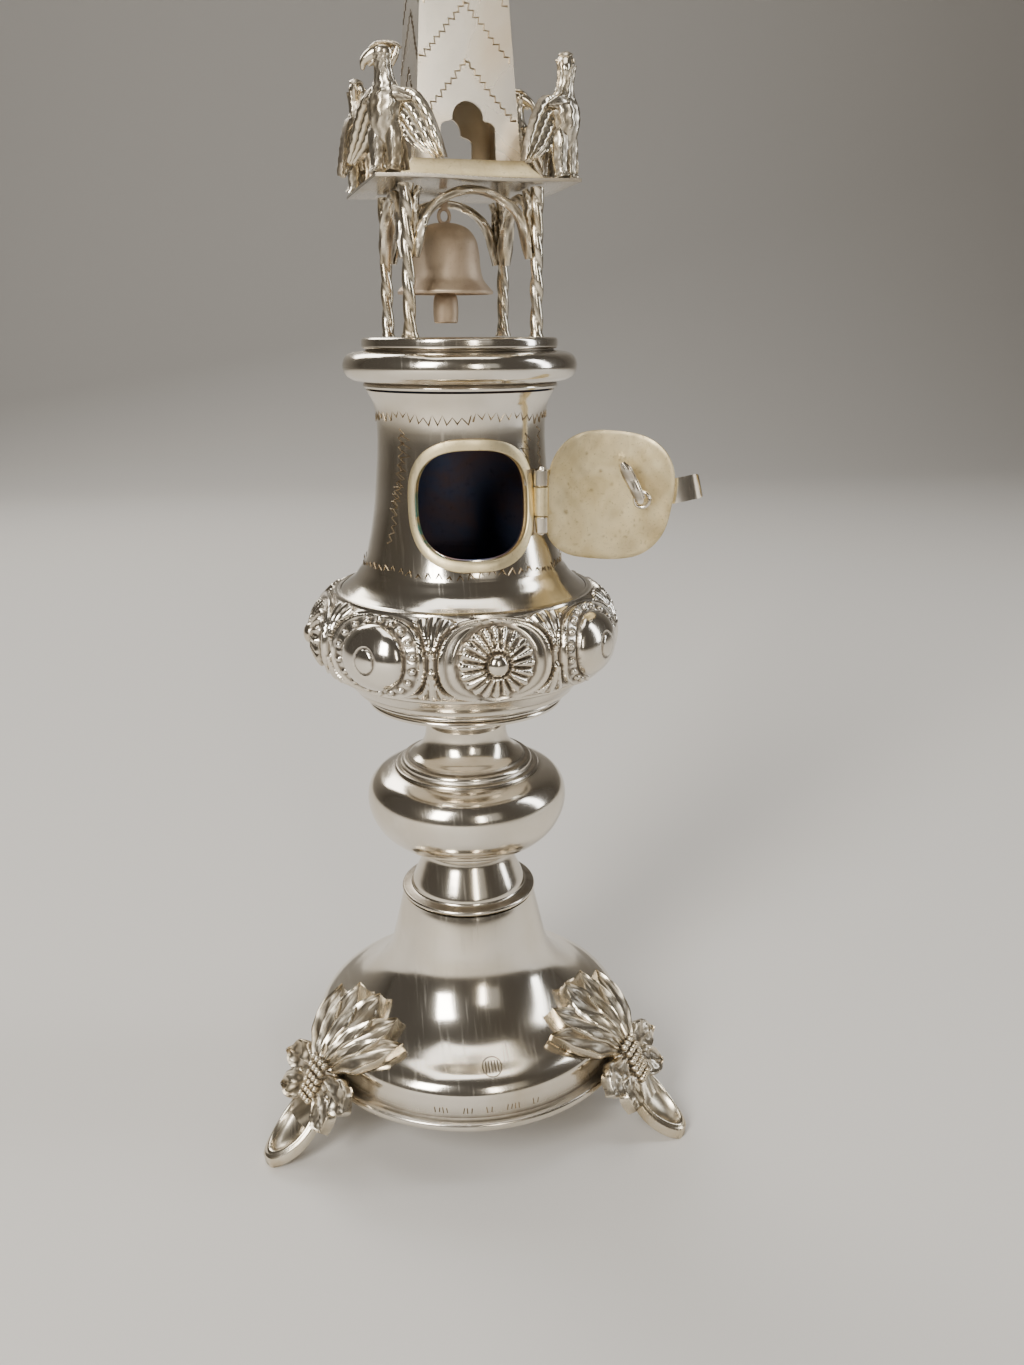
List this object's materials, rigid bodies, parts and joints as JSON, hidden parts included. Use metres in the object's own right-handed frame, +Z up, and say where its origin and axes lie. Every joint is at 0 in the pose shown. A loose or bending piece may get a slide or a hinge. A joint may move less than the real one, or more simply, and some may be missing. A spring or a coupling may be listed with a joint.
{
  "type": "spice tower",
  "caption": "Tall silver spice tower: three-footed base, knop, hinged-door spice box, open lantern with a bell, birds and a slender four-sided spire.",
  "frame": {"origin": "on the table, at the middle of the footprint", "axes": "+Z up the tower, the door opening faces -Y"},
  "size_m": [0.0826, 0.0784, 0.298],
  "materials": {
    "silver": "polished silver with a warm tarnish",
    "cast_silver": "cast silver, darker in its hollows",
    "bare_silver": "dull yellowish inner silver",
    "copper": "matte coppery tan"
  },
  "bodies": {
    "base": {"foot_dome": "silver", "foot_left": "cast_silver", "foot_right": "cast_silver", "foot_back": "cast_silver", "stem_knop": "silver", "spice_body": "silver", "door_frame": "bare_silver", "hinge_pin": "silver", "collar": "silver", "column_1": "cast_silver", "column_2": "cast_silver", "column_3": "cast_silver", "column_4": "cast_silver", "arch_1": "cast_silver", "arch_2": "cast_silver", "arch_3": "cast_silver", "arch_4": "cast_silver", "bell": "copper", "clapper": "copper", "platform": "silver", "bird_1": "cast_silver", "bird_2": "cast_silver", "bird_3": "cast_silver", "bird_4": "cast_silver", "spire_pad": "silver", "spire": "silver", "finial": "silver"},
    "door": {"door": "bare_silver"},
    "catch": {"door_catch": "silver"}
  },
  "joints": [
    {"name": "door_hinge", "type": "hinge", "parent": "base", "child": "door", "pos_m": [0.0131, -0.01917, 0.1211], "axis": [0, 0, 1], "range_deg": [-172, 8]},
    {"name": "catch_turn", "type": "hinge", "parent": "door", "child": "catch", "pos_m": [0.03138, -0.0185, 0.1211], "axis": [0.4964, 0.8681, 0], "range_deg": [0, 50]}
  ]
}
